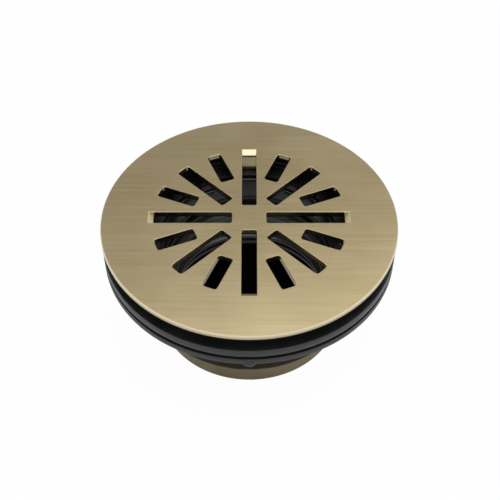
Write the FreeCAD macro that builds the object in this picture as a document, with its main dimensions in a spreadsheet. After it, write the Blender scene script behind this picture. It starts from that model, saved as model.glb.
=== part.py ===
"""Brass floor drain with a slotted grate, as a parametric document.

The frame's origin is the centre of the drain's lower end, +Z is up along the drain's axis, and -Y is
the front, where the lower gasket's tongue is. All lengths are in millimetres.
"""

import FreeCAD, Part
import math
import os
import Sketcher

DEGREES_ALL_ROUND = 360.0
QUARTERS = {"right": 0.0, "back": 90.0, "left": 180.0, "front": 270.0}

# The driving dimensions. Each is one cell of the sheet, under the alias given here.
DRIVING = {
    "overall_height": 54.6,
    "plate_radius": 57.15,
    "plate_thick": 2.4,
    "plate_bevel": 0.8,
    "plate_bevel_drop": 0.35,
    "slot_width": 5.7,
    "slot_outer_end": 38.0,
    "cross_slot_outer_end": 37.0,
    "slot_inner_long": 6.65,
    "slot_inner_middle": 11.95,
    "slot_inner_short": 22.2,
    "slot_corner": 1.0,
    "slot_edge": 0.2,
    "lift_slope_width": 2.0,
    "lift_slope_drop": 1.4,
    "slots_per_turn": 16,
    "leg_inner": 37.6,
    "leg_thick": 1.5,
    "leg_width": 7.0,
    "leg_drop": 7.3,
    "leg_corner": 2.2,
    "spring_thick": 0.35,
    "spring_width": 4.6,
    "spring_bow": 1.3,
    "spring_inset": 0.8,
    "flange_radius": 51.2,
    "flange_thick": 2.4,
    "throat_radius": 42.3,
    "throat_depth": 9.0,
    "hub_wall": 2.1,
    "ledge_thick": 2.0,
    "tail_radius": 37.7,
    "tail_plain_length": 9.0,
    "tail_edge": 0.2,
    "relief_radius": 37.0,
    "relief_length": 3.2,
    "tail_bore": 35.6,
    "end_bore": 34.6,
    "seal_shoulder_radius": 31.6,
    "seal_shoulder_height": 7.6,
    "seal_shoulder_thick": 2.0,
    "thread_pitch": 2.2,
    "thread_depth": 0.9,
    "thread_crest": 38.9,
    "inner_thread_depth": 0.6,
    "running_gap": 0.1,
    "free_gap": 0.3,
    "rim_gasket_radius": 52.8,
    "rim_gasket_height": 6.55,
    "gasket_radius": 57.0,
    "gasket_round": 0.3,
    "upper_gasket_thick": 3.4,
    "slip_ring_radius": 55.6,
    "slip_ring_thick": 1.7,
    "lower_gasket_thick": 2.6,
    "tongue_back": 56.6,
    "tongue_width": 4.6,
    "tongue_reach": 57.6,
    "tongue_drop": 0.9,
    "friction_washer_radius": 47.0,
    "friction_washer_thick": 0.9,
    "locknut_height": 22.45,
    "locknut_radius": 43.9,
    "locknut_bevel": 0.9,
    "locknut_bevel_rise": 1.9,
    "lug_reach": 45.6,
    "lug_width": 9.0,
    "lug_height": 12.0,
    "lug_count": 6,
    "seat_ring_wall": 0.9,
    "seat_ring_bead": 0.4,
    "seat_ring_floor": 1.0,
    "seat_ring_lip": 34.9,
    "nut_bore": 33.6,
    "nut_height": 9.8,
    "nut_below_ledge": 0.4,
    "notch_width": 6.0,
    "notch_depth": 3.4,
    "notch_wall": 0.8,
    "notch_count": 6,
    "slip_washer_thick": 2.0,
    "tightening_travel": 3.0,
    "seal_bore": 32.4,
    "seal_rib_radius": 30.4,
    "seal_rib_height": 2.4,
    "edge_break": 0.5,
}


class Size:
    """A length as an expression on the sheet, with its number alongside."""

    def __init__(self, text, number):
        self.text = text
        self.number = number

    def __add__(self, other):
        other = as_size(other)
        return Size(f"({self.text} + {other.text})", self.number + other.number)

    def __sub__(self, other):
        other = as_size(other)
        return Size(f"({self.text} - {other.text})", self.number - other.number)

    def __mul__(self, other):
        other = as_size(other)
        return Size(f"({self.text} * {other.text})", self.number * other.number)

    def __truediv__(self, other):
        other = as_size(other)
        return Size(f"({self.text} / {other.text})", self.number / other.number)

    def __neg__(self):
        return Size(f"(-1 * {self.text})", -self.number)


def as_size(value):
    """A plain number as a Size, and a Size as it is."""
    return value if isinstance(value, Size) else Size(repr(value), value)


doc = FreeCAD.newDocument("floor_drain")
sheet = doc.addObject("Spreadsheet::Sheet", "sheet")
for row, (alias, number) in enumerate(DRIVING.items(), start=1):
    sheet.set(f"A{row}", alias)
    sheet.set(f"B{row}", str(number))
    sheet.setAlias(f"B{row}", alias)
doc.recompute()


def size(alias):
    """The named driving dimension."""
    return Size(f"sheet.{alias}", float(DRIVING[alias]))


# Levels, all measured up from the lower end of the drain.
plate_top = size("overall_height")
plate_under = plate_top - size("plate_thick")
flange_under = plate_under - size("flange_thick")
throat_floor = plate_under - size("throat_depth")
hub_under = throat_floor - size("ledge_thick")
rim_gasket_under = plate_under - size("rim_gasket_height")
upper_gasket_under = rim_gasket_under - size("upper_gasket_thick")
slip_ring_under = upper_gasket_under - size("slip_ring_thick")
lower_gasket_under = slip_ring_under - size("lower_gasket_thick")
friction_washer_under = lower_gasket_under - size("friction_washer_thick")
locknut_under = friction_washer_under - size("locknut_height")
nut_top = throat_floor - size("nut_below_ledge")
nut_under = nut_top - size("nut_height")
slip_washer_under = nut_under - size("slip_washer_thick")
seal_top = slip_washer_under - size("tightening_travel")
seal_under = size("seal_shoulder_height")

# Radii that follow from the driving ones.
hub_radius = size("throat_radius") + size("hub_wall")
clamp_bore = hub_radius + size("free_gap")
stack_bore = size("thread_crest") + size("free_gap")
locknut_bore = size("thread_crest") + size("running_gap")
nut_radius = size("tail_bore") - size("running_gap")
seat_ring_bore = size("throat_radius") - size("seat_ring_wall")

subparts = []


def new_body(label):
    """An empty body, listed as a sub-part under its label."""
    body = doc.addObject("PartDesign::Body", label)
    body.Label = label
    subparts.append(body)
    return body


def new_sketch(body, name, plane, height=None):
    """A sketch on one of the body's own origin planes, raised by height along its normal."""
    sketch = body.newObject("Sketcher::SketchObject", f"{body.Label}_{name}")
    origin_plane = [feature for feature in body.Origin.OriginFeatures if feature.Role == plane][0]
    sketch.AttachmentSupport = [(origin_plane, "")]
    sketch.MapMode = "FlatFace"
    if height is not None:
        sketch.setExpression("AttachmentOffset.Base.z", height.text)
    return sketch


def pin_point(sketch, geometry, point, across, upward, name):
    """Ties a sketch point to two sizes measured from the sketch's origin."""
    for kind, axis, value in (("DistanceX", -2, across), ("DistanceY", -1, upward)):
        if value.number == 0.0:
            sketch.addConstraint(Sketcher.Constraint("PointOnObject", geometry, point, axis))
            continue
        constraint = Sketcher.Constraint(kind, -1, 1, geometry, point, value.number)
        index = sketch.addConstraint(constraint)
        label = f"{name}_{kind[-1].lower()}"
        sketch.renameConstraint(index, label)
        sketch.setExpression(f"Constraints.{label}", value.text)


def draw_outline(sketch, corners):
    """A closed outline of straight lines through corners, each given as two sizes."""
    corners = [(as_size(across), as_size(upward)) for across, upward in corners]
    points = [FreeCAD.Vector(across.number, upward.number, 0) for across, upward in corners]
    count = len(corners)
    lines = [Part.LineSegment(points[i], points[(i + 1) % count]) for i in range(count)]
    sketch.addGeometry(lines, False)
    joins = [Sketcher.Constraint("Coincident", i, 2, (i + 1) % count, 1) for i in range(count)]
    sketch.addConstraint(joins)
    for i, (across, upward) in enumerate(corners):
        pin_point(sketch, i, 1, across, upward, f"corner{i}")


def draw_circle(sketch, radius):
    """A circle about the sketch's origin."""
    sketch.addGeometry(Part.Circle(FreeCAD.Vector(0, 0, 0), FreeCAD.Vector(0, 0, 1), radius.number), False)
    sketch.addConstraint(Sketcher.Constraint("Coincident", 0, 3, -1, 1))
    index = sketch.addConstraint(Sketcher.Constraint("Radius", 0, radius.number))
    sketch.renameConstraint(index, "radius")
    sketch.setExpression("Constraints.radius", radius.text)


def revolve(body, name, corners):
    """A solid turned about the drain's axis from an outline of (radius, height) corners."""
    sketch = new_sketch(body, f"{name}_section", "XZ_Plane")
    draw_outline(sketch, corners)
    turned = body.newObject("PartDesign::Revolution", f"{body.Label}_{name}")
    turned.Profile = sketch
    turned.ReferenceAxis = (sketch, ["V_Axis"])
    turned.Angle = DEGREES_ALL_ROUND
    doc.recompute()
    return turned


def pattern_round(body, name, feature, count):
    """Repeats a feature evenly about the drain's axis."""
    pattern = body.newObject("PartDesign::PolarPattern", f"{body.Label}_{name}")
    pattern.Originals = [feature]
    axis = [item for item in body.Origin.OriginFeatures if item.Role == "Z_Axis"][0]
    pattern.Axis = (axis, [""])
    pattern.Angle = DEGREES_ALL_ROUND
    pattern.setExpression("Occurrences", count.text)
    body.Tip = pattern
    doc.recompute()
    return pattern


def edges_where(feature, test):
    """The names of the feature's edges whose two ends, or only end, pass the test."""
    names = []
    for index, edge in enumerate(feature.Shape.Edges, start=1):
        ends = [vertex.Point for vertex in edge.Vertexes]
        if test(edge, ends):
            names.append(f"Edge{index}")
    return names


def is_ring(edge):
    """Whether the edge is a whole circle."""
    return edge.Curve.TypeId == "Part::GeomCircle" and len(edge.Vertexes) == 1


def at_ring(radius, height):
    """A test for the circular edge of that radius at that height."""
    def test(edge, ends):
        if not is_ring(edge):
            return False
        same_radius = abs(edge.Curve.Radius - radius.number) < 0.01
        return same_radius and abs(ends[0].z - height.number) < 0.01
    return test


def dress(body, kind, name, base, tests, amount):
    """A Fillet or Chamfer on the edges that pass any of the tests."""
    names = [edge for test in tests for edge in edges_where(base, test)]
    if not names:
        raise RuntimeError(f"{body.Label}: no edge for {name}")
    feature = body.newObject(f"PartDesign::{kind}", f"{body.Label}_{name}")
    feature.Base = (base, names)
    feature.setExpression("Radius" if kind == "Fillet" else "Size", amount.text)
    body.Tip = feature
    doc.recompute()
    return feature


def must_cut(before, after, label):
    """Stops when a cut has taken nothing away."""
    if after.Shape.Volume > before.Shape.Volume - 1.0:
        raise RuntimeError(f"{label} cuts nothing")


def flat_ring(label, inner, outer, top, under, rounding=None):
    """A flat washer, with its two outer edges rounded when a rounding is given."""
    body = new_body(label)
    ring = revolve(body, "ring", [(inner, under), (outer, under), (outer, top), (inner, top)])
    if rounding is not None:
        dress(body, "Fillet", "rounding", ring, [at_ring(outer, top), at_ring(outer, under)], rounding)
    return body


def thread_teeth(crest, depth, top, under):
    """The corners of ridges at the thread's pitch, from top down to under; a negative depth cuts outwards."""
    pitch = size("thread_pitch")
    turns = int((top.number - under.number) / pitch.number)
    root = crest - depth
    corners = []
    for turn in range(turns):
        start = top - pitch * turn
        corners.append((crest, start))
        corners.append((crest, start - pitch * 0.3))
        corners.append((root, start - pitch * 0.6))
        corners.append((root, start - pitch * 0.7))
    corners.append((crest, top - pitch * turns))
    return corners


def make_grate_plate():
    """The round plate with its radial slots, beveled round the rim and eased at the slots' edges.

    The outer end of each cross slot slopes down, so that a finger or a tool can lift the grate there.
    """
    body = new_body("grate_plate")
    disc_sketch = new_sketch(body, "disc_outline", "XY_Plane", plate_under)
    draw_circle(disc_sketch, size("plate_radius"))
    disc = body.newObject("PartDesign::Pad", "grate_plate_disc")
    disc.Profile = disc_sketch
    disc.setExpression("Length", "sheet.plate_thick")
    doc.recompute()

    half_width = size("slot_width") / 2
    families = (
        ("cross", "slot_inner_long", "cross_slot_outer_end", 0, 4),
        ("middle", "slot_inner_middle", "slot_outer_end", 2, 4),
        ("short", "slot_inner_short", "slot_outer_end", 1, 2),
    )
    last = disc
    for name, inner_alias, outer_alias, first_step, steps_between in families:
        sketch = new_sketch(body, f"{name}_slot_outline", "XY_Plane", plate_top)
        turn = DEGREES_ALL_ROUND * first_step / DRIVING["slots_per_turn"]
        sketch.AttachmentOffset = FreeCAD.Placement(
            FreeCAD.Vector(0, 0, plate_top.number), FreeCAD.Rotation(FreeCAD.Vector(0, 0, 1), turn))
        sketch.setExpression("AttachmentOffset.Base.z", plate_top.text)
        inner, outer = size(inner_alias), size(outer_alias)
        draw_outline(sketch, [(inner, -half_width), (outer, -half_width), (outer, half_width), (inner, half_width)])
        slot = body.newObject("PartDesign::Pocket", f"grate_plate_{name}_slot")
        slot.Profile = sketch
        slot.Type = "ThroughAll"
        doc.recompute()
        must_cut(last, slot, f"{name} slot")
        last = pattern_round(body, f"{name}_slots", slot, size("slots_per_turn") / steps_between)

    def eased_corner(edge, ends):
        if len(ends) != 2:
            return False
        upright = math.hypot(ends[0].x - ends[1].x, ends[0].y - ends[1].y) < 0.001
        cross_corner = math.hypot(DRIVING["cross_slot_outer_end"], half_width.number)
        return upright and abs(math.hypot(ends[0].x, ends[0].y) - cross_corner) > 0.01

    rounded = dress(body, "Fillet", "slot_corners", last, [eased_corner], size("slot_corner"))
    slope_sketch = new_sketch(body, "lift_slope_outline", "XZ_Plane")
    slope_start = size("cross_slot_outer_end")
    slope_foot = plate_top - size("lift_slope_drop")
    inside_slot = slope_start - size("slot_corner")
    draw_outline(slope_sketch, [(inside_slot, slope_foot), (slope_start, slope_foot),
                                (slope_start + size("lift_slope_width"), plate_top), (inside_slot, plate_top)])
    slope = body.newObject("PartDesign::Pocket", "grate_plate_lift_slope")
    slope.Profile = slope_sketch
    slope.Midplane = True
    slope.setExpression("Length", "sheet.slot_width")
    doc.recompute()
    must_cut(rounded, slope, "lift slope")
    sloped = pattern_round(body, "lift_slopes", slope, size("slots_per_turn") / 4)
    beveled = dress(body, "Chamfer", "rim_bevel", sloped, [at_ring(size("plate_radius"), plate_top)],
                    size("plate_bevel"))
    beveled.ChamferType = "Two distances"
    beveled.setExpression("Size2", "sheet.plate_bevel_drop")
    doc.recompute()

    def slot_top(edge, ends):
        on_top = all(abs(end.z - plate_top.number) < 0.001 for end in ends)
        inside = all(math.hypot(end.x, end.y) < DRIVING["slot_outer_end"] + 2.0 for end in ends)
        return on_top and inside and not is_ring(edge)

    dress(body, "Fillet", "slot_edges", beveled, [slot_top], size("slot_edge"))


def make_legs():
    """A flat brass leg with rounded lower corners at each quarter, brazed under the plate."""
    for side, turn in QUARTERS.items():
        body = new_body(f"grate_leg_{side}")
        sketch = new_sketch(body, "outline", "YZ_Plane", size("leg_inner"))
        half_width = size("leg_width") / 2
        leg_end = plate_under - size("leg_drop")
        draw_outline(sketch, [(-half_width, leg_end), (half_width, leg_end),
                              (half_width, plate_under), (-half_width, plate_under)])
        blade = body.newObject("PartDesign::Pad", f"{body.Label}_blade")
        blade.Profile = sketch
        blade.setExpression("Length", "sheet.leg_thick")
        doc.recompute()

        def lower_corner(edge, ends):
            return all(abs(end.z - leg_end.number) < 0.001 for end in ends) and abs(ends[0].x - ends[1].x) > 0.1

        dress(body, "Fillet", "corners", blade, [lower_corner], size("leg_corner"))
        body.Placement = FreeCAD.Placement(
            FreeCAD.Vector(0, 0, 0), FreeCAD.Rotation(FreeCAD.Vector(0, 0, 1), turn))


def make_leg_springs():
    """A bowed steel strip on each leg's outer face, welded at its upper end."""
    for side, turn in QUARTERS.items():
        body = new_body(f"leg_spring_{side}")
        sketch = new_sketch(body, "strip_section", "XZ_Plane")
        face = size("leg_inner") + size("leg_thick")
        outside = face + size("spring_thick")
        bow = size("spring_bow")
        top = plate_under - size("spring_inset")
        foot = plate_under - size("leg_drop") + size("leg_corner") / 2
        middle = (top + foot) / 2
        draw_outline(sketch, [(face, top), (face, top - 1.4), (face + bow, middle), (face, foot),
                              (outside, foot), (outside + bow, middle), (outside, top - 1.4), (outside, top)])
        strip = body.newObject("PartDesign::Pad", f"{body.Label}_strip")
        strip.Profile = sketch
        strip.Midplane = True
        strip.setExpression("Length", "sheet.spring_width")
        doc.recompute()
        body.Placement = FreeCAD.Placement(
            FreeCAD.Vector(0, 0, 0), FreeCAD.Rotation(FreeCAD.Vector(0, 0, 1), turn))


def make_drain_body():
    """The cast and turned body: flange, throat, ledge, threaded tail and plain lower end."""
    body = new_body("drain_body")
    tail_top = friction_washer_under
    plain_top = size("tail_plain_length")
    bore_thread_under = seal_top + size("thread_pitch")
    bore_thread_top = throat_floor - size("thread_pitch") / 2
    shoulder_under = size("seal_shoulder_height") - size("seal_shoulder_thick")
    relief_top = plain_top + size("relief_length")
    outside = [(hub_radius, hub_under), (size("thread_crest"), hub_under)]
    outside += thread_teeth(size("thread_crest"), size("thread_depth"), tail_top, relief_top)
    outside += [(size("relief_radius"), relief_top - size("thread_depth")), (size("relief_radius"), plain_top)]
    outside += [(size("tail_radius"), plain_top)]
    outside += [(size("tail_radius"), size("tail_edge")), (size("tail_radius") - size("tail_edge"), as_size(0.0))]
    teeth = thread_teeth(size("tail_bore"), -size("inner_thread_depth"), bore_thread_top, bore_thread_under)
    inside = [(size("end_bore"), as_size(0.0)), (size("end_bore"), shoulder_under)]
    inside += [(size("seal_shoulder_radius"), shoulder_under), (size("seal_shoulder_radius"), seal_under)]
    inside += [(size("tail_bore"), seal_under)]
    inside += list(reversed(teeth))
    inside += [(size("tail_bore"), throat_floor), (size("throat_radius"), throat_floor)]
    inside += [(size("throat_radius"), plate_under)]
    flange = [(size("flange_radius"), plate_under), (size("flange_radius"), flange_under)]
    flange += [(hub_radius, flange_under)]
    turned = revolve(body, "casting", outside + inside + flange)
    dress(body, "Fillet", "flange_round", turned, [at_ring(size("flange_radius"), flange_under)], size("edge_break"))


def make_seat_ring():
    """The rubber ring that lines the throat, with two beads that the leg springs press on."""
    body = new_body("seat_ring")
    top = plate_under - size("running_gap")
    beaded = seat_ring_bore - size("seat_ring_bead")
    floor_top = throat_floor + size("seat_ring_floor")
    upper_bead = top - 1.6
    lower_bead = floor_top + 2.2
    bead_half = size("seat_ring_bead") * 1.5
    corners = [(size("throat_radius"), throat_floor), (size("throat_radius"), top), (seat_ring_bore, top)]
    for bead in (upper_bead, lower_bead):
        corners += [(seat_ring_bore, bead + bead_half), (beaded, bead + bead_half / 3)]
        corners += [(beaded, bead - bead_half / 3), (seat_ring_bore, bead - bead_half)]
    corners += [(seat_ring_bore, floor_top), (size("seat_ring_lip"), floor_top)]
    corners += [(size("seat_ring_lip"), throat_floor)]
    revolve(body, "ring", corners)


def make_rim_gasket():
    """The rubber cup that wraps the flange's edge and underside."""
    body = new_body("rim_gasket")
    outer = size("rim_gasket_radius")
    corners = [(clamp_bore, rim_gasket_under), (outer, rim_gasket_under), (outer, plate_under)]
    corners += [(size("flange_radius"), plate_under), (size("flange_radius"), flange_under)]
    corners += [(clamp_bore, flange_under)]
    revolve(body, "cup", corners)


def make_lower_gasket():
    """The washer under the floor, with a rounded pull tongue at the front."""
    body = flat_ring("lower_gasket", stack_bore, size("gasket_radius"), slip_ring_under, lower_gasket_under,
                     size("gasket_round"))
    sketch = new_sketch(body, "tongue_outline", "XZ_Plane", size("tongue_back"))
    half_width = size("tongue_width") / 2
    tongue_end = friction_washer_under - size("tongue_drop") / 2
    tongue_top = slip_ring_under - size("tongue_drop")
    draw_outline(sketch, [(-half_width, tongue_top), (-half_width, lower_gasket_under),
                          (-half_width / 2, tongue_end), (half_width / 2, tongue_end),
                          (half_width, lower_gasket_under), (half_width, tongue_top)])
    tongue = body.newObject("PartDesign::Pad", "lower_gasket_tongue")
    tongue.Profile = sketch
    reach = size("tongue_reach") - size("tongue_back")
    tongue.setExpression("Length", reach.text)
    body.Tip = tongue
    doc.recompute()


def make_locknut():
    """The ring nut on the tail's thread, with lugs round its upper part for a spanner."""
    body = new_body("locknut")
    top = friction_washer_under
    teeth = thread_teeth(locknut_bore, -size("thread_depth") * 0.8, top - size("thread_pitch") / 2, locknut_under)
    corners = [(size("locknut_radius") - size("locknut_bevel"), locknut_under)]
    corners += [(size("locknut_radius"), locknut_under + size("locknut_bevel_rise"))]
    corners += [(size("locknut_radius"), top), (locknut_bore, top)]
    corners += teeth
    corners += [(locknut_bore, locknut_under)]
    ring = revolve(body, "ring", corners)
    sketch = new_sketch(body, "lug_outline", "XY_Plane", top - size("lug_height"))
    half_width = size("lug_width") / 2
    inner = size("locknut_radius") - 1.0
    draw_outline(sketch, [(inner, -half_width), (size("lug_reach"), -half_width * 0.7),
                          (size("lug_reach"), half_width * 0.7), (inner, half_width)])
    lug = body.newObject("PartDesign::Pad", "locknut_lug")
    lug.Profile = sketch
    lug.setExpression("Length", "sheet.lug_height")
    doc.recompute()
    lugs = pattern_round(body, "lugs", lug, size("lug_count"))
    if lugs.Shape.Volume < ring.Shape.Volume + 1.0:
        raise RuntimeError("the lugs add nothing")


def make_compression_nut():
    """The ring nut inside the tail, with notches on top, open to the bore, for a wrench."""
    body = new_body("compression_nut")
    depth = size("inner_thread_depth")
    teeth = thread_teeth(nut_radius, depth, nut_top - size("thread_pitch") / 2, nut_under + size("thread_pitch") / 2)
    corners = [(size("nut_bore"), nut_under), (size("nut_bore"), nut_top), (nut_radius, nut_top)]
    corners += teeth
    corners += [(nut_radius, nut_under)]
    ring = revolve(body, "ring", corners)
    sketch = new_sketch(body, "notch_outline", "XY_Plane", nut_top)
    half_width = size("notch_width") / 2
    inner, outer = size("nut_bore") - 1.0, nut_radius - size("notch_wall")
    draw_outline(sketch, [(inner, -half_width), (outer, -half_width), (outer, half_width), (inner, half_width)])
    notch = body.newObject("PartDesign::Pocket", "compression_nut_notch")
    notch.Profile = sketch
    notch.setExpression("Length", "sheet.notch_depth")
    doc.recompute()
    must_cut(ring, notch, "notch")
    pattern_round(body, "notches", notch, size("notch_count"))


def make_pipe_gasket():
    """The rubber sleeve round the pipe, with three sealing ribs in its bore."""
    body = new_body("pipe_gasket")
    outer = size("tail_bore") - size("running_gap") / 2
    length = seal_top - seal_under
    bore = size("seal_bore")
    half_rib = size("seal_rib_height") / 2
    corners = [(outer, seal_top), (outer, seal_under), (bore, seal_under)]
    for share in (0.16, 0.5, 0.84):
        middle = seal_under + length * share
        corners += [(bore, middle - half_rib), (size("seal_rib_radius"), middle - half_rib / 3)]
        corners += [(size("seal_rib_radius"), middle + half_rib / 3), (bore, middle + half_rib)]
    corners += [(bore, seal_top - size("edge_break") * 2), (bore + size("edge_break") * 2, seal_top)]
    revolve(body, "sleeve", corners)


make_grate_plate()
make_legs()
make_leg_springs()
make_drain_body()
make_seat_ring()
make_rim_gasket()
flat_ring("upper_gasket", clamp_bore, size("gasket_radius"), rim_gasket_under, upper_gasket_under,
          size("gasket_round"))
flat_ring("slip_ring", clamp_bore, size("slip_ring_radius"), upper_gasket_under, slip_ring_under)
make_lower_gasket()
flat_ring("friction_washer", stack_bore, size("friction_washer_radius"), lower_gasket_under,
          friction_washer_under)
make_locknut()
make_compression_nut()
flat_ring("slip_washer", size("nut_bore"), nut_radius - size("running_gap"), nut_under, slip_washer_under)
make_pipe_gasket()
doc.recompute()

for item in doc.Objects:
    if "Invalid" in item.State or "Error" in item.State:
        raise RuntimeError(f"{item.Name} failed: {item.State}")
for body in subparts:
    shape = body.Shape
    if shape.isNull() or not shape.isValid() or len(shape.Solids) != 1:
        raise RuntimeError(f"{body.Label} is not one valid solid")

os.makedirs("parts", exist_ok=True)
for body in subparts:
    body.Shape.exportStep(f"parts/{body.Label}.step")
    box = body.Shape.BoundBox
    print(f"{body.Label:24s} volume {body.Shape.Volume:9.1f}  z {box.ZMin:6.2f} to {box.ZMax:6.2f}  x {box.XMax:6.2f}")
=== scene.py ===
"""A brass floor drain with its slotted grate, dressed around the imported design.

Sizes are in millimetres until a mesh is made, and MM turns them to metres. The drain's axis is Z.
"""

import math

import bmesh
import bpy
import numpy as np
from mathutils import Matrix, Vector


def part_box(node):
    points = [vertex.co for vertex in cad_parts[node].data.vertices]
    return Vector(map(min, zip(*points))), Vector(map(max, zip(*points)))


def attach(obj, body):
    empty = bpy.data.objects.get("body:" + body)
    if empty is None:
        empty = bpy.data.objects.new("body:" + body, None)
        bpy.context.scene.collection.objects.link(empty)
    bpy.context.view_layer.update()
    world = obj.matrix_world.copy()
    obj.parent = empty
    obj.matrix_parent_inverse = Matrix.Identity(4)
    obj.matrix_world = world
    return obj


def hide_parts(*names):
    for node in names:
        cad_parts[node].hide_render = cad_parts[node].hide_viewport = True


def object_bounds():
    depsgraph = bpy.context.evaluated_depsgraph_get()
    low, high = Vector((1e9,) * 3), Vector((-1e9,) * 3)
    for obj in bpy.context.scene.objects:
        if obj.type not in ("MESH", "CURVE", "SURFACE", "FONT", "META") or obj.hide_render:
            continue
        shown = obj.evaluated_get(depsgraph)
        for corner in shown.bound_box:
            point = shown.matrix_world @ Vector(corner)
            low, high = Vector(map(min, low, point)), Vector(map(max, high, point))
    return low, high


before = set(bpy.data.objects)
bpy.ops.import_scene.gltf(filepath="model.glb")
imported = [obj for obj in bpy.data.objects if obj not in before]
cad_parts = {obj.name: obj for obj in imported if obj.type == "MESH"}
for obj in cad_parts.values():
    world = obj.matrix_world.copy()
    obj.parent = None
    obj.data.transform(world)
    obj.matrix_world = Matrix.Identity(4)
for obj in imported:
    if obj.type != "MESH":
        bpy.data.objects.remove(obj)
cad_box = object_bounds()
MM = 0.001

# --- Camera and studio -------------------------------------------------------------------------
# A product table: a pale sweep, one large softbox overhead, weaker ones behind to the right, on the
# camera's side and low at both sides, and a camera that looks down at about 48 degrees.

scene = bpy.context.scene
scene.view_settings.view_transform = "Standard"

CAMERA_LENS = 67.58                 # mm, on a sensor 36 mm wide
CAMERA_BACK = 251.8                 # in front of the drain's axis
CAMERA_ABOVE_PLATE = 259.1
CAMERA_ASIDE = 0.3
CAMERA_TILT = 42.19                 # degrees from straight down
plate_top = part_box("grate_plate")[1].z / MM

camera_data = bpy.data.cameras.new("camera")
camera_data.lens = CAMERA_LENS
camera_data.clip_start = 0.01
camera = bpy.data.objects.new("camera", camera_data)
camera.location = (CAMERA_ASIDE * MM, -CAMERA_BACK * MM, (plate_top + CAMERA_ABOVE_PLATE) * MM)
camera.rotation_euler = (math.radians(CAMERA_TILT), 0, 0)
scene.collection.objects.link(camera)
scene.camera = camera


def softbox(name, place, aim, width, depth, radiance):
    """A rectangular area light at place that faces aim.

    Its power is four times its area times radiance.
    """
    light = bpy.data.lights.new(name, "AREA")
    light.shape = "RECTANGLE"
    light.size = width
    light.size_y = depth
    light.energy = 4.0 * width * depth * radiance
    lamp = bpy.data.objects.new(name, light)
    lamp.location = place
    direction = Vector(aim) - Vector(place)
    lamp.rotation_euler = direction.to_track_quat("-Z", "Y").to_euler()
    scene.collection.objects.link(lamp)


softbox("overhead_softbox", (0.08, 0.02, 0.90), (0.0, 0.0, 0.0), 1.00, 0.70, 1.65)
softbox("right_back_softbox", (0.52, 0.66, 0.80), (0.0, 0.0, 0.05), 0.50, 0.40, 0.75)
softbox("camera_side_softbox", (0.0, -0.62, 0.72), (0.0, 0.0, 0.04), 0.60, 0.36, 0.95)
softbox("left_softbox", (-0.95, -0.15, 0.22), (0.0, 0.0, 0.02), 0.50, 0.36, 1.9)
softbox("right_softbox", (0.95, -0.15, 0.22), (0.0, 0.0, 0.02), 0.50, 0.36, 1.9)


def add(tree, kind, inputs=None, **settings):
    """Adds a shader node, sets its settings, and links or sets each named or numbered input."""
    node = tree.nodes.new("ShaderNode" + kind)
    for name, value in settings.items():
        setattr(node, name, value)
    for key, value in (inputs or {}).items():
        if isinstance(value, bpy.types.NodeSocket):
            tree.links.new(value, node.inputs[key])
        else:
            node.inputs[key].default_value = value
    return node


def linear(hex_colour):
    """An sRGB colour written #rrggbb as linear red, green, blue and alpha."""
    parts = np.array([int(hex_colour[i:i + 2], 16) / 255.0 for i in (1, 3, 5)])
    low = parts / 12.92
    high = ((parts + 0.055) / 1.055) ** 2.4
    return tuple(np.where(parts <= 0.04045, low, high)) + (1.0,)


def empty_material(name):
    """A material with no surface yet, its node tree, and the object's own coordinates in metres."""
    material = bpy.data.materials.new(name)
    material.use_nodes = True
    tree = material.node_tree
    tree.nodes.clear()
    return material, tree, add(tree, "TexCoord").outputs["Object"]


def calc(tree, operation, *values):
    """The result of one math node."""
    return add(tree, "Math", dict(enumerate(values)), operation=operation).outputs[0]


def part(tree, vector, axis):
    """The vector's X, Y or Z."""
    return add(tree, "SeparateXYZ", {0: vector}).outputs[axis]


def off_axis(tree, place):
    """The distance from the drain's axis."""
    flat = add(tree, "VectorMath", {0: place, 1: (1, 1, 0)}, operation="MULTIPLY")
    return add(tree, "VectorMath", {0: flat.outputs[0]}, operation="LENGTH").outputs["Value"]


def carried(tree, value, source, target=(0.0, 1.0)):
    """The value carried from the source range to the target range, and held inside it."""
    return add(tree, "MapRange", {"Value": value, "From Min": source[0], "From Max": source[1],
                                  "To Min": target[0], "To Max": target[1]}).outputs["Result"]


def blend(tree, factor, first, second, kind="FLOAT"):
    """The first number where the factor is 0, and the second where it is 1."""
    return add(tree, "Mix", {"Factor": factor, "A": first, "B": second}, data_type=kind).outputs["Result"]


def blend_colours(tree, factor, first, second):
    """The same for two colours, each one linked or written #rrggbb."""
    first, second = (linear(colour) if isinstance(colour, str) else colour for colour in (first, second))
    return blend(tree, factor, first, second, "RGBA")


def noise(tree, place, size, detail=2.0, roughness=0.5, drawn_out=(1, 1, 1)):
    """Noise with features of that size in millimetres, times drawn_out along X, Y and Z."""
    if drawn_out != (1, 1, 1):
        scale = tuple(1 / times for times in drawn_out)
        place = add(tree, "Mapping", {"Vector": place, "Scale": scale}).outputs[0]
    return add(tree, "TexNoise", {"Vector": place, "Scale": 1 / (size * MM), "Detail": detail,
                                  "Roughness": roughness}).outputs["Fac"]


def ramp(tree, factor, dark, light, start=0.0, end=1.0):
    """The dark colour up to start and the light one from end on, with a fade between them."""
    fade = add(tree, "ValToRGB", {"Fac": factor})
    for element, position, colour in zip(fade.color_ramp.elements, (start, end), (dark, light)):
        element.position = position
        element.color = linear(colour)
    return fade.outputs["Color"]


def emboss(tree, height, strength, depth, under=None):
    """A surface direction bumped by the height, to a depth in millimetres, over one under it."""
    inputs = {"Height": height, "Strength": strength, "Distance": depth * MM}
    if under is not None:
        inputs["Normal"] = under
    return add(tree, "Bump", inputs).outputs["Normal"]


def surface(tree, colour, roughness, normal, more):
    """Ends the tree in one physically based surface."""
    shader = add(tree, "BsdfPrincipled", {"Base Color": colour, "Roughness": roughness, "Normal": normal,
                                          **more})
    add(tree, "OutputMaterial", {"Surface": shader.outputs[0]})


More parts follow.
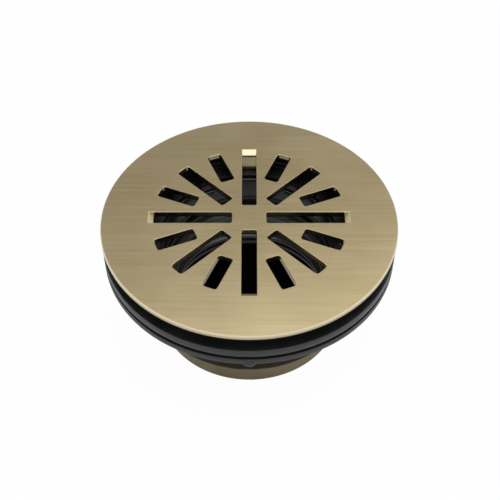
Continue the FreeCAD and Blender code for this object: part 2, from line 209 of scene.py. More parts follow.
def matt_or_white(tree, colour, white_share):
    """Ends the tree in a matt surface that turns to plain white by that share."""
    matt = add(tree, "BsdfDiffuse", {"Color": linear(colour)})
    white = add(tree, "Emission", {"Color": (1, 1, 1, 1), "Strength": 1.0})
    both = add(tree, "MixShader", {0: white_share, 1: matt.outputs[0], 2: white.outputs[0]})
    add(tree, "OutputMaterial", {"Surface": both.outputs[0]})


def flat_sheet(name, outline, material, below):
    """One flat face through the outline's points, that many metres below the drain."""
    mesh = bpy.data.meshes.new(name)
    mesh.from_pydata([(x, y, 0) for x, y in outline], [], [tuple(range(len(outline)))])
    mesh.materials.append(material)
    sheet = bpy.data.objects.new(name, mesh)
    sheet.location.z = cad_box[0][2] - below
    scene.collection.objects.link(sheet)
    return sheet


# The world is bright at the horizon and dim high up where metal mirrors it, an even fill for matt
# surfaces, and white to the camera.
HORIZON_LIGHT = 1.0
HIGH_LIGHT = 0.38
FILL_LIGHT = 0.42
HORIZON_RISE = (0.26, 0.58)         # where the light falls off, as the sine of the height
world = bpy.data.worlds.new("studio")
world.use_nodes = True
scene.world = world
tree = world.node_tree
tree.nodes.clear()
rays = add(tree, "LightPath").outputs
rise = part(tree, add(tree, "TexCoord").outputs["Generated"], "Z")
backdrop = carried(tree, rise, HORIZON_RISE, (HORIZON_LIGHT, HIGH_LIGHT))
fill = blend(tree, rays["Is Glossy Ray"], FILL_LIGHT, backdrop)
seen = blend(tree, rays["Is Camera Ray"], fill, 1.0)
sky = add(tree, "Background", {"Strength": seen, "Color": (1, 1, 1, 1)})
add(tree, "OutputWorld", {"Surface": sky.outputs["Background"]})

FLOOR_SPAN = 6.0
FLOOR_BELOW = 0.0002
FLOOR_GLOW = 0.97                   # how much of the floor the camera sees as plain white
FAR_FLOOR_IN_GLOSS = 0.65           # the lit sweep far off, seen in polished metal
FAR_FLOOR_REACH = (0.12, 0.70)
SIDE_GLOW_IN_GLOSS = 0.22          # painted glow on the floor left and right of the axis, a painted reflection seen only in polished metal
SIDE_GLOW_REACH = (0.008, 0.036)
floor_paper, tree, place = empty_material("white_paper_sweep")
rays = add(tree, "LightPath").outputs
far_off = carried(tree, off_axis(tree, place), FAR_FLOOR_REACH, (0.0, FAR_FLOOR_IN_GLOSS))
aside = calc(tree, "ABSOLUTE", part(tree, place, "X"))
# Painted reflection: two strips of floor beside the axis glow to glossy rays only.
side_glow = carried(tree, aside, SIDE_GLOW_REACH, (0.0, SIDE_GLOW_IN_GLOSS))
brighter = calc(tree, "MAXIMUM", far_off, side_glow)
in_gloss = calc(tree, "MULTIPLY", rays["Is Glossy Ray"], brighter)
in_camera = calc(tree, "MULTIPLY", rays["Is Camera Ray"], FLOOR_GLOW)
matt_or_white(tree, "#f0f0f0", calc(tree, "ADD", in_gloss, in_camera))
corner = FLOOR_SPAN / 2
floor = flat_sheet("floor", [(-corner, -corner), (corner, -corner), (corner, corner), (-corner, corner)],
                   floor_paper, FLOOR_BELOW)

# A black disc under the bore, painted shade for the table there, so that no white table shows through the
# slots.
# Polished metal above it catches a painted grey glow in the disc's middle, as a painted reflection of a lit
# table.
BORE_SHADE_RADIUS = 0.0362
BORE_GLOW_IN_GLOSS = 0.42
BORE_GLOW_REACH = (0.029, 0.033)         # the grey lies in the middle only, and fades out here
BORE_SHADE_SIDES = 96
BORE_SHADE_BELOW = 0.0001
bore_shade, tree, place = empty_material("painted_bore_shade")
rays = add(tree, "LightPath").outputs
# Painted reflection: the disc glows grey to glossy rays only, in its middle.
bore_glow_share = carried(tree, off_axis(tree, place), BORE_GLOW_REACH, (BORE_GLOW_IN_GLOSS, 0.0))
matt_or_white(tree, "#0a0a0a", calc(tree, "MULTIPLY", rays["Is Glossy Ray"], bore_glow_share))
bore_shade_turn = np.linspace(0, 2 * np.pi, BORE_SHADE_SIDES, endpoint=False)
bore_shade_rim = [(BORE_SHADE_RADIUS * math.cos(turn), BORE_SHADE_RADIUS * math.sin(turn)) for turn in bore_shade_turn]
bore_shade_disc = flat_sheet("bore_shade_disc", bore_shade_rim, bore_shade, BORE_SHADE_BELOW)


# --- Drain body --------------------------------------------------------------------------------
# A brass casting, turned all over: flange, throat, ledge, and a tail with a right-hand thread
# outside for the locknut and one inside for the compression nut. It has a satin plated finish.

THREAD_PITCH = 2.2
THREAD_ROWS = 10                    # rows of faces to one turn of thread
THREAD_STEEPNESS = 2.2              # how fast a thread's side falls, against a plain triangle wave
CREST_SHARE = 0.6                   # how much of that wave is cut off at the crest


def section(corners, steps=4):
    """A closed outline with every corner eased.

    Each corner (across, up, easing) gives way to the quadratic curve that starts the easing's length
    before it and ends the same length after it, with the corner as its control point.
    """
    corners = np.array(corners, float)
    points, ease = corners[:, :2], np.maximum(corners[:, 2], 0.02)
    to_last = np.roll(points, 1, axis=0) - points
    to_next = np.roll(points, -1, axis=0) - points
    last_length = np.linalg.norm(to_last, axis=1)
    next_length = np.linalg.norm(to_next, axis=1)
    ease = np.minimum(ease, 0.49 * np.minimum(last_length, next_length))
    start = points + to_last * (ease / last_length)[:, None]
    end = points + to_next * (ease / next_length)[:, None]
    s = np.linspace(0.0, 1.0, steps)[None, :, None]
    curve = (1 - s) ** 2 * start[:, None] + 2 * s * (1 - s) * points[:, None] + s ** 2 * end[:, None]
    return curve.reshape(-1, 2)


def add_rows(outline, low, high, radius):
    """Divides the outline's upright edges on that radius between two heights, by thread rows."""
    ahead = np.roll(outline, -1, axis=0)
    on_radius = (abs(outline[:, 0] - radius) < 0.001) & (abs(ahead[:, 0] - radius) < 0.001)
    middle = (outline[:, 1] + ahead[:, 1]) / 2
    length = abs(ahead[:, 1] - outline[:, 1])
    rows = np.ceil(length / (THREAD_PITCH / THREAD_ROWS))
    parts = np.where(on_radius & (middle > low) & (middle < high), np.maximum(rows, 1), 1).astype(int)
    edge = np.repeat(np.arange(len(outline)), parts)
    share = (np.arange(parts.sum()) - np.repeat(np.cumsum(parts) - parts, parts)) / parts[edge]
    return outline[edge] + share[:, None] * (ahead - outline)[edge]


def groove(height, angle, low, high):
    """How deep a right-hand thread is at a height and angle, 0 on its crest and 1 at its root.

    The height over the pitch, less the turn, gives the place across one thread. A triangle wave of
    that place, cut flat at crest and root and eased, is the groove, and it fades over the last pitch
    at both ends.
    """
    place = (height / THREAD_PITCH - angle / (2 * np.pi)) % 1.0
    wave = np.clip(THREAD_STEEPNESS * abs(2 * place - 1) - CREST_SHARE, 0.0, 1.0)
    fade = np.clip((height - low) / THREAD_PITCH, 0, 1) * np.clip((high - height) / THREAD_PITCH, 0, 1)
    return wave * wave * (3 - 2 * wave) * fade


def skin(name, points, closed_along, material, body, slot, replaced=(), sharp=35):
    """A closed mesh over a grid of points, in millimetres.

    Each grid square is a face. The second direction always closes on itself. The first does too when
    closed_along is set, and otherwise its end rows are single points, which are merged.
    """
    along, around = points.shape[:2]
    steps = np.arange(along if closed_along else along - 1)
    a, b = np.meshgrid(steps, np.arange(around), indexing="ij")
    next_a, next_b = (a + 1) % along, (b + 1) % around
    faces = np.stack([a * around + b, next_a * around + b, next_a * around + next_b, a * around + next_b],
                     axis=-1)
    mesh = bpy.data.meshes.new(name)
    mesh.from_pydata((points.reshape(-1, 3) * MM).tolist(), [], faces.reshape(-1, 4).tolist())
    if not closed_along:
        work = bmesh.new()
        work.from_mesh(mesh)
        bmesh.ops.remove_doubles(work, verts=work.verts, dist=0.002 * MM)
        bmesh.ops.dissolve_degenerate(work, edges=work.edges, dist=0.001 * MM)
        work.to_mesh(mesh)
        work.free()
    mesh.shade_smooth()
    mesh.set_sharp_from_angle(angle=math.radians(sharp))
    mesh.materials.append(material)
    piece = bpy.data.objects.new(name, mesh)
    scene.collection.objects.link(piece)
    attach(piece, body)
    if replaced:
        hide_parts(*replaced)
    return piece


def lathe(name, outline, shape=None, angles=240, **finish):
    """The outline of (radius, height) carried round the drain's axis.

    x is the radius times the cosine of the angle and y times its sine. shape, where given, takes the
    radius, height and angle grids and returns the radius and height to use. The outline is turned
    anticlockwise first, so that the faces point outwards.
    """
    ahead = np.roll(outline, -1, axis=0)
    if np.sum(outline[:, 0] * ahead[:, 1] - ahead[:, 0] * outline[:, 1]) < 0:
        outline = outline[::-1]
    if np.ndim(angles) == 0:
        angles = np.linspace(0, 2 * np.pi, angles, endpoint=False)
    angle, radius = np.meshgrid(angles, outline[:, 0], indexing="ij")
    height = np.broadcast_to(outline[:, 1], radius.shape)
    if shape is not None:
        radius, height = shape(radius, height, angle)
    points = np.stack([radius * np.cos(angle), radius * np.sin(angle), height], axis=-1)
    return skin(name, points, True, **finish)


def low_of(node):
    """The height of a CAD node's underside, in millimetres."""
    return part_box(node)[0].z / MM


def top_of(node):
    """The height of a CAD node's top, in millimetres."""
    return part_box(node)[1].z / MM


def reach_of(node):
    """The outer radius of a CAD node, in millimetres."""
    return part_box(node)[1].x / MM


# Turned brass: fine rings left by the tool, about 0.25 mm apart, over a warm grey-gold plating that
# is a little uneven, so the eye gets soft bands of light with a faint thread of lines round them. The
# bore below the seal is dipped in black sealant.
SEALANT_RADIUS = 34.9
turned_brass, tree, place = empty_material("turned_plated_brass")
height = part(tree, place, "Z")
from_axis = off_axis(tree, place)
ring_place = add(tree, "CombineXYZ", {"X": from_axis, "Y": height}).outputs[0]
tool_rings = noise(tree, ring_place, 0.25, roughness=0.6)
plating = noise(tree, place, 14, 3.0)
tint = ramp(tree, calc(tree, "ADD", tool_rings, plating), "#877b63", "#9d9077", start=0.75)
in_bore = calc(tree, "LESS_THAN", from_axis, SEALANT_RADIUS * MM)
under_seal = calc(tree, "LESS_THAN", height, low_of("pipe_gasket") * MM)
lined = calc(tree, "MULTIPLY", in_bore, under_seal)
surface(tree, blend_colours(tree, lined, tint, "#1a1b1c"), carried(tree, tool_rings, (0, 1), (0.30, 0.46)),
        emboss(tree, tool_rings, 0.25, 0.02), {"Metallic": calc(tree, "SUBTRACT", 1.0, lined)})

flange_top = top_of("drain_body")
throat_floor = low_of("seat_ring")
flange_under = flange_top - 2.4
hub_under = throat_floor - 2.0
HUB_RADIUS = 44.4
THROAT_RADIUS = 42.3
THREAD_CREST = 38.9
THREAD_DEPTH = 0.9
TAIL_RADIUS = 37.7
TAIL_PLAIN = 9.0
RELIEF_TOP = 12.2
RELIEF_RADIUS = 37.0
TAIL_BORE = 35.6
BORE_THREAD_DEPTH = 0.6
END_BORE = 34.6
SHOULDER_RADIUS = 31.6
SHOULDER_THICK = 2.0
flange_radius = reach_of("rim_gasket") - 1.6
seal_low = low_of("pipe_gasket")
seal_top = top_of("pipe_gasket")
thread_top = top_of("locknut")

body_outline = section([
    (END_BORE, 0, 0.3), (TAIL_RADIUS, 0, 0.2), (TAIL_RADIUS, TAIL_PLAIN, 0.2), (RELIEF_RADIUS, TAIL_PLAIN, 0.2),
    (RELIEF_RADIUS, RELIEF_TOP - THREAD_DEPTH, 0.3), (THREAD_CREST, RELIEF_TOP + THREAD_DEPTH, 0.3),
    (THREAD_CREST, thread_top, 0.1), (THREAD_CREST, hub_under, 0.3),
    (HUB_RADIUS, hub_under, 0.6), (HUB_RADIUS, flange_under, 0.5), (flange_radius, flange_under, 0.5),
    (flange_radius, flange_top, 0.3), (THROAT_RADIUS, flange_top, 0.4), (THROAT_RADIUS, throat_floor, 0.4),
    (TAIL_BORE, throat_floor, 0.6), (TAIL_BORE, seal_top + 1.0, 0.1), (TAIL_BORE, seal_low, 0.3),
    (SHOULDER_RADIUS, seal_low, 0.4), (SHOULDER_RADIUS, seal_low - SHOULDER_THICK, 0.4),
    (END_BORE, seal_low - SHOULDER_THICK, 0.5)])
body_outline = add_rows(body_outline, RELIEF_TOP, thread_top, THREAD_CREST)
body_outline = add_rows(body_outline, seal_top + 1.0, throat_floor, TAIL_BORE)


def cut_threads(radius, height, angle):
    """The radius less the outer groove on the tail's crest, and plus the inner groove on its bore."""
    outside = groove(height, angle, RELIEF_TOP, thread_top) * (abs(radius - THREAD_CREST) < 0.001)
    inside = groove(height, angle, seal_top, throat_floor) * (abs(radius - TAIL_BORE) < 0.001)
    return radius - THREAD_DEPTH * outside + BORE_THREAD_DEPTH * inside, height


lathe("drain_body_turned", body_outline, cut_threads, material=turned_brass, body="drain", slot="body_brass",
      replaced=["drain_body"])


# --- Seat ring ---------------------------------------------------------------------------------
# A moulded rubber liner pressed into the throat. The grate's legs push down inside it, and its two
# beads grip their springs.


def epdm_rubber(name, dark, light, sheen, more):
    """Rubber filled with carbon black, with mould grain and patches of bloom. sheen is its roughness.

    The grain, really about 0.2 mm, is drawn a little coarse.
    """
    material, tree, place = empty_material(name)
    grain = noise(tree, place, 0.22, 3.0, 0.65)
    bloom = noise(tree, place, 9, 4.0, 0.6)
    surface(tree, ramp(tree, bloom, dark, light, 0.35, 0.75), carried(tree, bloom, (0.3, 0.7), sheen),
            emboss(tree, grain, 0.3, 0.02), {"IOR": 1.52, **more})
    return material


# Moulded EPDM rubber: the eye gets a deep neutral black with a soft sheen, fine grain, and a faint grey
# bloom. The seat ring's copy is blacker, as painted shade for the throat under the plate, and it is duller.
moulded_rubber = epdm_rubber("moulded_epdm_rubber", "#151617", "#1f2021", (0.30, 0.42), {})
# A darker copy of the rubber for the seat ring: its blacker colour is painted shade.
seat_rubber_shaded = epdm_rubber("shaded_epdm_rubber", "#0c0c0d", "#131314", (0.50, 0.60), {})

SEAT_WALL = 0.9
SEAT_BEAD = 0.4
SEAT_FLOOR = 1.0
seat_top = top_of("seat_ring")
seat_bore = THROAT_RADIUS - SEAT_WALL
LIP_BORE = 34.9
upper_bead = seat_top - 1.6
lower_bead = throat_floor + SEAT_FLOOR + 2.2


def bead_corners(middle):
    """The four corners of a bead on the seat ring's bore, from its top down."""
    crest = seat_bore - SEAT_BEAD
    return [(seat_bore, middle + 0.6, 0.2), (crest, middle + 0.2, 0.2),
            (crest, middle - 0.2, 0.2), (seat_bore, middle - 0.6, 0.2)]


lathe("seat_ring_moulded", section(
    [(THROAT_RADIUS, throat_floor, 0.1), (THROAT_RADIUS, seat_top, 0.2), (seat_bore, seat_top, 0.3)]
    + bead_corners(upper_bead) + bead_corners(lower_bead)
    + [(seat_bore, throat_floor + SEAT_FLOOR, 0.5), (LIP_BORE, throat_floor + SEAT_FLOOR, 0.3),
       (LIP_BORE, throat_floor, 0.1)]),
    material=seat_rubber_shaded, body="drain", slot="rubber", replaced=["seat_ring"])


# --- Pipe gasket -------------------------------------------------------------------------------
# A thick rubber sleeve in the tail's bore, moulded with three sealing ribs that grip the pipe. It is
# supplied with a wipe of silicone grease, so it shines more than the other rubber.

# Greased EPDM rubber: the same black, with a wet, nearly mirror-like gloss that breaks up a little.
greased_rubber = epdm_rubber("greased_epdm_rubber", "#151617", "#1f2021", (0.30, 0.42),
                             {"Coat Weight": 0.8, "Coat Roughness": 0.16})

SEAL_BORE = 32.4
RIB_RADIUS = 30.4
RIB_HALF = 1.2
seal_radius = reach_of("pipe_gasket")
seal_length = seal_top - seal_low
ribs = []
for share in (0.84, 0.5, 0.16):
    middle = seal_low + seal_length * share
    ribs += [(SEAL_BORE, middle + RIB_HALF, 0.5), (RIB_RADIUS, middle + RIB_HALF / 3, 0.4),
             (RIB_RADIUS, middle - RIB_HALF / 3, 0.4), (SEAL_BORE, middle - RIB_HALF, 0.5)]
lathe("pipe_gasket_sleeve", section(
    [(seal_radius, seal_low, 0.2), (seal_radius, seal_top, 0.3), (SEAL_BORE + 1.0, seal_top, 0.3),
     (SEAL_BORE, seal_top - 1.0, 0.4)] + ribs + [(SEAL_BORE, seal_low, 0.3)]),
    material=greased_rubber, body="drain", slot="rubber", replaced=["pipe_gasket"])


# --- Compression nut and slip washer -----------------------------------------------------------
# The nut is a moulded black nylon ring with a thread outside and six notches on top for a wrench.
# The washer under it is pressed acetal. It lets the nut turn without twisting the rubber.

# Moulded nylon: jet black and smooth from a polished mould, with shallow sink marks a few
# millimetres across and hair-fine flow lines, so highlights are sharp but waver.
moulded_nylon, tree, place = empty_material("moulded_black_nylon")
sink = noise(tree, place, 5)
flow = noise(tree, place, 0.4)
surface(tree, ramp(tree, flow, "#121315", "#1d1e21"), carried(tree, flow, (0, 1), (0.14, 0.30)),
        emboss(tree, flow, 0.12, 0.01, emboss(tree, sink, 0.3, 0.06)), {"IOR": 1.53})

NUT_BORE = 33.6
NOTCH_WALL = 0.8
NOTCH_WALL_FLANK = 0.15
NUT_THREAD_DEPTH = 0.6
NOTCH_COUNT = 6
NOTCH_HALF_WIDTH = 3.0
NOTCH_DEPTH = 3.4
NOTCH_FLANK = 0.4                   # degrees over which a notch's side falls
nut_radius = TAIL_BORE - 0.1
nut_low = low_of("compression_nut")
nut_top = top_of("compression_nut")
nut_height = nut_top - nut_low
notch_half = math.degrees(NOTCH_HALF_WIDTH / ((NUT_BORE + nut_radius) / 2))

notch_wall = nut_radius - NOTCH_WALL
nut_outline = section([(NUT_BORE, nut_low, 0.4), (nut_radius, nut_low, 0.4), (nut_radius, nut_top, 0.3),
                       (notch_wall, nut_top, 0.02), (notch_wall - NOTCH_WALL_FLANK, nut_top, 0.02),
                       (NUT_BORE, nut_top, 0.4)])
nut_outline = add_rows(nut_outline, nut_low, nut_top, nut_radius)
half_step = 180.0 / NOTCH_COUNT
flank_out = notch_half + NOTCH_FLANK / 2
flank_in = notch_half - NOTCH_FLANK / 2
flank_steps = np.linspace(-flank_out, -flank_in, 4)
one_part = np.concatenate([np.linspace(-half_step, -flank_out, 10, endpoint=False), flank_steps,
                           np.linspace(-flank_in, flank_in, 10)[1:-1], -flank_steps[::-1],
                           np.linspace(flank_out, half_step, 10, endpoint=False)[1:]])
nut_angles = np.radians((one_part[None, :] + 2 * half_step * np.arange(NOTCH_COUNT)[:, None]).ravel())


def notch_and_thread(radius, height, angle):
    """The nut's height shrinks in each notch, by an eased step, and the groove is cut into its outside.

    The notch stops short of the outside, where a thin wall keeps its full height.
    """
    off_notch = abs((np.degrees(angle) + half_step) % (2 * half_step) - half_step)
    fall = np.clip((flank_out - off_notch) / NOTCH_FLANK, 0, 1)
    inside = np.clip((notch_wall - radius) / NOTCH_WALL_FLANK, 0, 1)
    share = inside * fall * fall * (3 - 2 * fall)
    height = nut_low + (height - nut_low) * (1 - NOTCH_DEPTH / nut_height * share)
    cut = groove(height, angle, nut_low, nut_top) * (abs(radius - nut_radius) < 0.001)
    return radius - NUT_THREAD_DEPTH * cut, height


lathe("compression_nut_moulded", nut_outline, notch_and_thread, nut_angles, material=moulded_nylon,
      body="compression_ring", slot="nut_plastic", replaced=["compression_nut"])

# Pressed acetal: a shade lighter and satin, with a fine mottle from the press.
pressed_acetal, tree, place = empty_material("pressed_black_acetal")
press = noise(tree, place, 0.6, 3.0)
surface(tree, ramp(tree, press, "#17181a", "#232427"), 0.34, emboss(tree, press, 0.2, 0.02), {"IOR": 1.48})

washer_radius = reach_of("slip_washer")
washer_low = low_of("slip_washer")
lathe("slip_washer_pressed", section(
    [(NUT_BORE, washer_low, 0.3), (washer_radius, washer_low, 0.3), (washer_radius, nut_low, 0.3),
     (NUT_BORE, nut_low, 0.3)]),
    material=pressed_acetal, body="seal_follower", slot="washer_plastic", replaced=["slip_washer"])


# --- Rim gasket and upper gasket ---------------------------------------------------------------
# The rim gasket is a rubber cup stretched over the flange's edge. The upper gasket is a thick flat
# rubber washer under it, moulded in two halves, which leaves a hair-fine parting line round it.

CLAMP_BORE = 44.7
PARTING_RIDGE = 0.06
rim_radius = reach_of("rim_gasket")
rim_low = low_of("rim_gasket")
lathe("rim_gasket_moulded", section(
    [(CLAMP_BORE, rim_low, 0.3), (rim_radius, rim_low, 0.5), (rim_radius, flange_top, 0.4),
     (flange_radius, flange_top, 0.2), (flange_radius, flange_under, 0.3), (CLAMP_BORE, flange_under, 0.3)]),
    material=moulded_rubber, body="drain", slot="rubber", replaced=["rim_gasket"])


def rubber_washer(bore, radius, low, top, easing):
    """The section of a flat washer with eased rims and a small parting ridge at half height."""
    middle = (low + top) / 2
    return section([(bore, low, 0.3), (radius, low, easing), (radius, middle - 0.12, 0.05),
                    (radius + PARTING_RIDGE, middle, 0.04), (radius, middle + 0.12, 0.05),
                    (radius, top, easing), (bore, top, 0.3)])


gasket_radius = reach_of("upper_gasket")
slip_top = top_of("slip_ring")
slip_low = low_of("slip_ring")
lathe("upper_gasket_moulded", rubber_washer(CLAMP_BORE, gasket_radius, slip_top, rim_low, 0.35),
      material=moulded_rubber, body="drain", slot="rubber", replaced=["upper_gasket"])


# --- Slip ring and friction washer -------------------------------------------------------------
# Two thin rings of pressed fibre: one between the rubber washers, where the floor goes, and one
# under the lower washer, so that the locknut slides on it and doesn't drag the rubber round.

# Vulcanised fibre, dyed black: a dull, slightly papery black with flecks of about half a millimetre.
black_fibre, tree, place = empty_material("vulcanised_black_fibre")
flecks = noise(tree, place, 0.5, 5.0, 0.7)
surface(tree, ramp(tree, flecks, "#101112", "#222223", 0.3, 0.8), 0.55, emboss(tree, flecks, 0.3, 0.03),
        {"IOR": 1.5})

STACK_BORE = 39.2
friction_radius = reach_of("friction_washer")
friction_top = top_of("friction_washer")
slip_radius = reach_of("slip_ring")
lathe("slip_ring_pressed", section(
    [(CLAMP_BORE, slip_low, 0.1), (slip_radius, slip_low, 0.2), (slip_radius, slip_top, 0.2),
     (CLAMP_BORE, slip_top, 0.1)]),
    material=black_fibre, body="drain", slot="fibre", replaced=["slip_ring"])
lathe("friction_washer_pressed", section(
    [(STACK_BORE, thread_top, 0.1), (friction_radius, thread_top, 0.3), (friction_radius, friction_top, 0.2),
     (STACK_BORE, friction_top, 0.1)]),
    material=black_fibre, body="clamp_stack", slot="fibre", replaced=["friction_washer"])


# --- Lower gasket ------------------------------------------------------------------------------
# The second rubber washer, which the locknut presses up against the floor. A rounded pull tongue is
# moulded on its rim at the front.

TONGUE_HALF = 2.3
TONGUE_BACK = 55.4
lower_rim = reach_of("lower_gasket")
tongue_reach = -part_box("lower_gasket")[0].y / MM
tongue_low = low_of("lower_gasket")
lathe("lower_gasket_moulded", rubber_washer(STACK_BORE, lower_rim, friction_top, slip_low, 0.35),
      material=moulded_rubber, body="clamp_stack", slot="rubber", replaced=["lower_gasket"])

tongue_outline = section(
    [(-TONGUE_HALF, slip_low - 1.0, 0.6), (TONGUE_HALF, slip_low - 1.0, 0.6),
     (TONGUE_HALF, friction_top, 1.0), (TONGUE_HALF / 2, tongue_low, 0.8),
     (-TONGUE_HALF / 2, tongue_low, 0.8), (-TONGUE_HALF, friction_top, 1.0)], steps=6)
tongue_middle = tongue_outline.mean(axis=0)
tongue_scale = np.array([0.0, 1.0, 1.0, 0.92, 0.78, 0.55, 0.0])
tongue_depth = np.array([TONGUE_BACK, TONGUE_BACK, tongue_reach - 0.6, tongue_reach - 0.4, tongue_reach - 0.2,
                         tongue_reach - 0.05, tongue_reach])
spread = tongue_middle + tongue_scale[:, None, None] * (tongue_outline - tongue_middle)
tongue_out = np.broadcast_to(-tongue_depth[:, None], spread.shape[:2])
tongue_points = np.stack([spread[..., 0], tongue_out, spread[..., 1]], axis=-1)
skin("lower_gasket_tongue", tongue_points, False, moulded_rubber, "clamp_stack", "rubber", sharp=60)


# --- Locknut -----------------------------------------------------------------------------------
# A sand-cast brass ring nut with six lugs for a spanner, its two faces and its thread machined.

# Sand-cast brass, unplated: the mould's grit, about 0.5 mm, leaves a pebbled skin in a brown that is nearly
# black, with darker pits. The bevel that faces down is painted black as shade. The machined faces are brighter.
cast_brass, tree, place = empty_material("sand_cast_brass")
grit = noise(tree, place, 0.5, 3.0, 0.6)
upward = part(tree, add(tree, "NewGeometry").outputs["Normal"], "Z")
machined = carried(tree, calc(tree, "ABSOLUTE", upward), (0.85, 0.95))
downward = carried(tree, upward, (-0.2, -0.4))
tint = ramp(tree, grit, "#241d13", "#3a3020", 0.3, 0.7)
# Painted shade: the bevel that faces down is turned nearly black.
bevel_painted_shade = blend_colours(tree, downward, tint, "#0d0b08")
depth = carried(tree, machined, (0, 1), (0.6, 0.08))
surface(tree, blend_colours(tree, machined, bevel_painted_shade, "#8f7a4e"), carried(tree, machined, (0, 1), (0.52, 0.30)),
        emboss(tree, grit, depth, 0.12), {"Metallic": 1.0})

LOCKNUT_RING = 43.9
LOCKNUT_BEVEL = 0.9
LOCKNUT_BEVEL_RISE = 1.9
LUG_HEIGHT = 12.0
LUG_STEP = 0.5                      # the height over which a lug starts
LUG_COUNT = 6
LUG_HALF = 4.5
LUG_FLANK = 1.35
LOCKNUT_THREAD_DEPTH = 0.8 * THREAD_DEPTH
locknut_low = low_of("locknut")
locknut_bore = THREAD_CREST + 0.1
lug_rise = reach_of("locknut") - LOCKNUT_RING
lug_low = thread_top - LUG_HEIGHT
locknut_outline = section([
    (locknut_bore, locknut_low, 0.5), (LOCKNUT_RING - LOCKNUT_BEVEL, locknut_low, 0.2),
    (LOCKNUT_RING, locknut_low + LOCKNUT_BEVEL_RISE, 0.3), (LOCKNUT_RING, lug_low, 0.02),
    (LOCKNUT_RING, lug_low + LUG_STEP, 0.02), (LOCKNUT_RING, thread_top, 0.6), (locknut_bore, thread_top, 0.5)])
locknut_outline = add_rows(locknut_outline, locknut_low, thread_top, locknut_bore)


def lugs_and_thread(radius, height, angle):
    """Adds six eased lugs to the outside's upper part, and cuts the groove into the bore.

    The arc's distance from the nearest lug's middle gives each lug's rise.
    """
    lug_step = 2 * np.pi / LUG_COUNT
    off_lug = abs((angle + lug_step / 2) % lug_step - lug_step / 2) * LOCKNUT_RING
    rise = np.clip((LUG_HALF - off_lug) / LUG_FLANK, 0, 1)
    outer_share = np.clip((radius - locknut_bore) / (LOCKNUT_RING - locknut_bore), 0, 1)
    cut = groove(height, angle, locknut_low, thread_top) * (abs(radius - locknut_bore) < 0.001)
    above = np.clip((height - lug_low) / LUG_STEP, 0, 1)
    raised = lug_rise * rise * rise * (3 - 2 * rise) * (outer_share > 0.5) * above
    return radius + raised + LOCKNUT_THREAD_DEPTH * cut, height


lathe("locknut_cast", locknut_outline, lugs_and_thread, 480, material=cast_brass, body="locknut_ring",
      slot="cast_brass", replaced=["locknut"])


# --- Grate plate -------------------------------------------------------------------------------
# A round brass plate, punched with sixteen slots, beveled round its rim, then brushed in straight
# lines across the face and plated.

# Brushed plated brass: fine straight lines about 0.3 mm apart and 20 to 40 mm long, which spread
# every highlight across them, over a warm grey-gold with slow changes of tone. The rim's bevel and the
# cross slots' sloped ends are smoother, with a paler colour as painted highlight, and the slots' eased edges
# are painted a little darker as shade. The slot walls are polished, so they mirror the dark inside, but the
# underside and the lowest part of each wall are painted dark brown as shade.
SLOPES_FROM = (36.4 * MM, 36.9 * MM)    # where the cross slots' sloped ends start, from the axis
RIM_FROM = (45 * MM, 50 * MM)
WALL_SHADE_HEIGHT = 0.6                     # how much of a slot's wall, above the underside, is painted dark as shade
WALL_SHADE_FADE = 0.1
brushed_brass, tree, place = empty_material("brushed_plated_brass")
lines = noise(tree, place, 0.3, 4.0, 0.7, drawn_out=(30 / 0.3, 1, 1))
passes = noise(tree, place, 1.3, drawn_out=(70 / 1.3, 1, 1))
tone = noise(tree, place, 35)
upward = part(tree, add(tree, "NewGeometry").outputs["Normal"], "Z")
walls = carried(tree, upward, (0.4, 0.15))
smooth = carried(tree, upward, (0.985, 0.93))
from_axis = off_axis(tree, place)
at_slopes = carried(tree, from_axis, SLOPES_FROM)
at_rim = carried(tree, from_axis, RIM_FROM)
wall_shade_top = (low_of("grate_plate") + WALL_SHADE_HEIGHT) * MM
low_wall = carried(tree, part(tree, place, "Z"), (wall_shade_top, wall_shade_top - WALL_SHADE_FADE * MM))

shade = calc(tree, "ADD", lines, calc(tree, "MULTIPLY_ADD", passes, 0.5, tone))
tint = ramp(tree, carried(tree, shade, (0.95, 1.55)), "#ae9d77", "#c2b28d")
# Painted light: the bevel and the slopes are paler as painted highlight, the slot edges darker as painted
# shade.
slot_tint = blend_colours(tree, at_slopes, "#9c8e6d", "#cfc2a0")
edge_tint = blend_colours(tree, at_rim, slot_tint, "#e4d7b7")
edges_painted_light = blend_colours(tree, smooth, tint, edge_tint)
wall_tint = blend_colours(tree, walls, edges_painted_light, "#bfb294")
# Painted shade: the underside and the lowest part of each wall go dark brown.
plate_tint_with_shade = blend_colours(tree, low_wall, wall_tint, "#2b241a")

satin = carried(tree, lines, (0.3, 0.7), (0.28, 0.38))
edge_satin = blend(tree, at_rim, carried(tree, at_slopes, (0, 1), (0.24, 0.38)), 0.24)
eased = blend(tree, smooth, satin, edge_satin)
polished = blend(tree, walls, eased, 0.12)
surface(tree, plate_tint_with_shade, blend(tree, low_wall, polished, 0.55), emboss(tree, lines, 0.2, 0.02),
        {"Metallic": 1.0})


def dress(node, material):
    """Puts the material in every slot of a CAD node."""
    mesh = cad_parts[node].data
    for index in range(len(mesh.materials)):
        mesh.materials[index] = material
    if not mesh.materials:
        mesh.materials.append(material)


dress("grate_plate", brushed_brass)


# --- Legs and their springs --------------------------------------------------------------------
# Four legs cut from brass strip, with rounded feet, brazed on end under the plate. Each carries a
# bowed spring of steel strip on its outer face, spot welded at its upper end.

